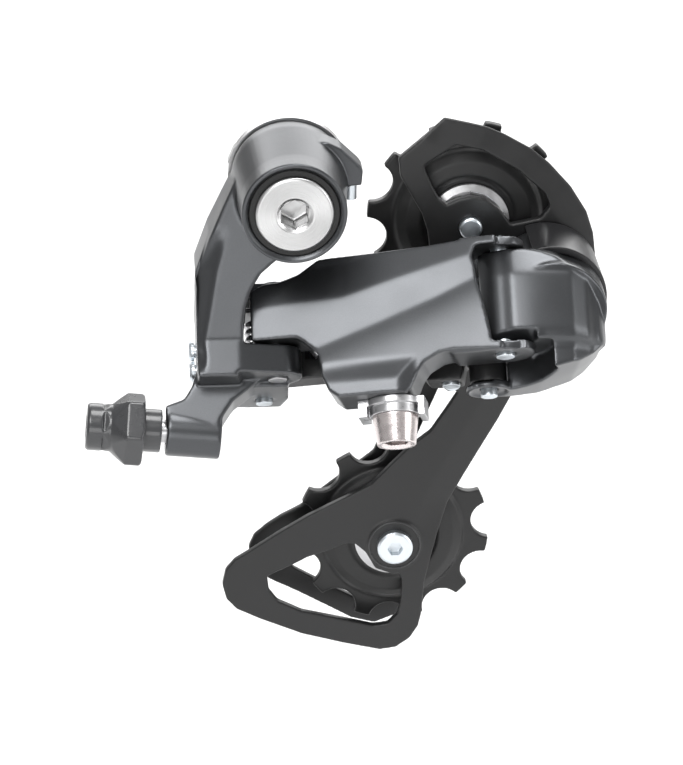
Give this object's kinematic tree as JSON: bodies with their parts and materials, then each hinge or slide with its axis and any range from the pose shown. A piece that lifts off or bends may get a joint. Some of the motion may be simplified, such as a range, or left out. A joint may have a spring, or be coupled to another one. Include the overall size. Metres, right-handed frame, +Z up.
{
  "type": "rear bicycle derailleur",
  "caption": "Rear derailleur with slanted parallelogram, sprung pulley cage, two jockey pulleys, threaded mounting bolt and adjusting barrel.",
  "frame": {"origin": "on the mounting bolt's axis at the face that bears on the frame's hanger", "axes": "+X forward on the bicycle, +Y inboard along the mounting bolt, +Z up"},
  "size_m": [0.1127, 0.0552, 0.131],
  "materials": {
    "body_paint": "satin metallic anthracite, cast edges softened",
    "bolt_silver": "brushed and clear anodised",
    "zinc": "bluish zinc plate",
    "steel": "turned steel",
    "spring_steel": "oiled spring wire",
    "clamp_steel": "polished, slightly warm",
    "plate_black": "satin black paint",
    "pulley_plastic": "satin moulded nylon",
    "seal_plastic": "glossy moulded",
    "dust_ring": "matt moulded ring",
    "bushing_metal": "plain sintered bearing",
    "barrel_plastic": "satin moulded grip"
  },
  "bodies": {
    "hanger_side": {"mounting_bolt": "bolt_silver", "snap_ring": "spring_steel"},
    "stop_plate": {"stopper_plate": "bolt_silver"},
    "bracket": {"bracket_body": "body_paint", "bolt_dust_ring": "dust_ring", "b_bushing": "bushing_metal", "b_spring": "spring_steel", "outer_link_rear_pin": "steel", "inner_link_rear_pin": "zinc"},
    "b_screw": {"b_adjust_screw": "zinc"},
    "high_screw": {"high_limit_screw": "zinc"},
    "low_screw": {"low_limit_screw": "zinc"},
    "barrel_core": {"barrel_ferrule": "steel", "barrel_spring": "spring_steel"},
    "barrel_grip": {"adjusting_barrel": "barrel_plastic"},
    "outer_arm": {"outer_link": "body_paint", "outer_link_front_pin": "zinc", "cable_clamp_plate": "steel"},
    "clamp_bolt": {"cable_clamp_bolt": "clamp_steel"},
    "inner_arm": {"inner_link": "plate_black", "spring_anchor_pin": "zinc", "return_spring": "spring_steel"},
    "cage_knuckle": {"p_body": "body_paint", "p_cover": "seal_plastic", "p_spring": "spring_steel", "inner_link_front_pin": "zinc"},
    "cage": {"cage_axle": "steel", "outer_plate": "plate_black", "inner_plate": "plate_black", "cage_stop_pin": "zinc", "guide_bolt": "zinc", "tension_bolt": "zinc", "guide_bushing": "steel", "tension_bushing": "steel", "guide_caps": "steel", "tension_caps": "steel"},
    "guide_wheel": {"guide_pulley": "pulley_plastic"},
    "tension_wheel": {"tension_pulley": "pulley_plastic"}
  },
  "joints": [
    {"name": "stopper_swing", "type": "hinge", "parent": "hanger_side", "child": "stop_plate", "pos_m": [0, -0.0012, 0], "axis": [0, -1, 0], "range_deg": [-40, 5]},
    {"name": "bracket_swing", "type": "hinge", "parent": "hanger_side", "child": "bracket", "pos_m": [0, -0.012, 0], "axis": [0, -1, 0], "range_deg": [-5, 30], "stiffness_Nm_per_rad": 1.2, "springref_deg": -17.19},
    {"name": "b_screw_turn", "type": "hinge", "parent": "bracket", "child": "b_screw", "pos_m": [0.0128, -0.0082, 0], "axis": [0, 0, 1], "range_deg": [-360, 360]},
    {"name": "high_screw_turn", "type": "hinge", "parent": "bracket", "child": "high_screw", "pos_m": [-0.021, -0.00777, -0.03813], "axis": [-1, 0, 0], "range_deg": [-360, 360]},
    {"name": "low_screw_turn", "type": "hinge", "parent": "bracket", "child": "low_screw", "pos_m": [-0.021, -0.01073, -0.04165], "axis": [-1, 0, 0], "range_deg": [-360, 360]},
    {"name": "barrel_out", "type": "slide", "parent": "bracket", "child": "barrel_core", "axis": [-0.9942, 0, 0.108], "range_m": [0, 0.0033], "deforming": ["barrel_spring"]},
    {"name": "barrel_turn", "type": "hinge", "parent": "barrel_core", "child": "barrel_grip", "pos_m": [-0.0282, -0.024, -0.0493], "axis": [-0.9942, 0, 0.108], "range_deg": [0, 1500]},
    {"name": "outer_link_swing", "type": "hinge", "parent": "bracket", "child": "outer_arm", "pos_m": [-0.0036, -0.01229, -0.02951], "axis": [0, 0.6428, 0.766], "range_deg": [0, 50], "stiffness_Nm_per_rad": 0.35, "springref_deg": -34.38},
    {"name": "inner_link_swing", "type": "hinge", "parent": "bracket", "child": "inner_arm", "pos_m": [-0.0061, -0.0049, -0.04093], "axis": [0, 0.6428, 0.766], "range_deg": [0, 50]},
    {"name": "cage_knuckle_pivot", "type": "hinge", "parent": "outer_arm", "child": "cage_knuckle", "pos_m": [0.04414, -0.02039, -0.0227], "axis": [0, 0.6428, 0.766], "range_deg": [-50, 0]},
    {"name": "clamp_bolt_turn", "type": "hinge", "parent": "outer_arm", "child": "clamp_bolt", "pos_m": [0.0207, -0.03153, -0.04469], "axis": [0, 0.6428, 0.766], "range_deg": [-360, 360]},
    {"name": "cage_swing", "type": "hinge", "parent": "cage_knuckle", "child": "cage", "pos_m": [0.0553, -0.01, -0.0255], "axis": [0, -1, 0], "range_deg": [0, 85], "stiffness_Nm_per_rad": 0.25, "springref_deg": -45.84},
    {"name": "guide_spin", "type": "hinge", "parent": "cage", "child": "guide_wheel", "pos_m": [0.0395, 0.008, -0.0145], "axis": [0, -1, 0], "continuous": true},
    {"name": "tension_spin", "type": "hinge", "parent": "cage", "child": "tension_wheel", "pos_m": [0.0235, 0.008, -0.091], "axis": [0, -1, 0], "continuous": true}
  ],
  "couplings": [
    {"joint": "inner_link_swing", "follows": "outer_link_swing", "ratio": 1},
    {"joint": "cage_knuckle_pivot", "follows": "outer_link_swing", "ratio": -1},
    {"joint": "barrel_turn", "follows": "barrel_out", "rad_per_m": 7854}
  ]
}
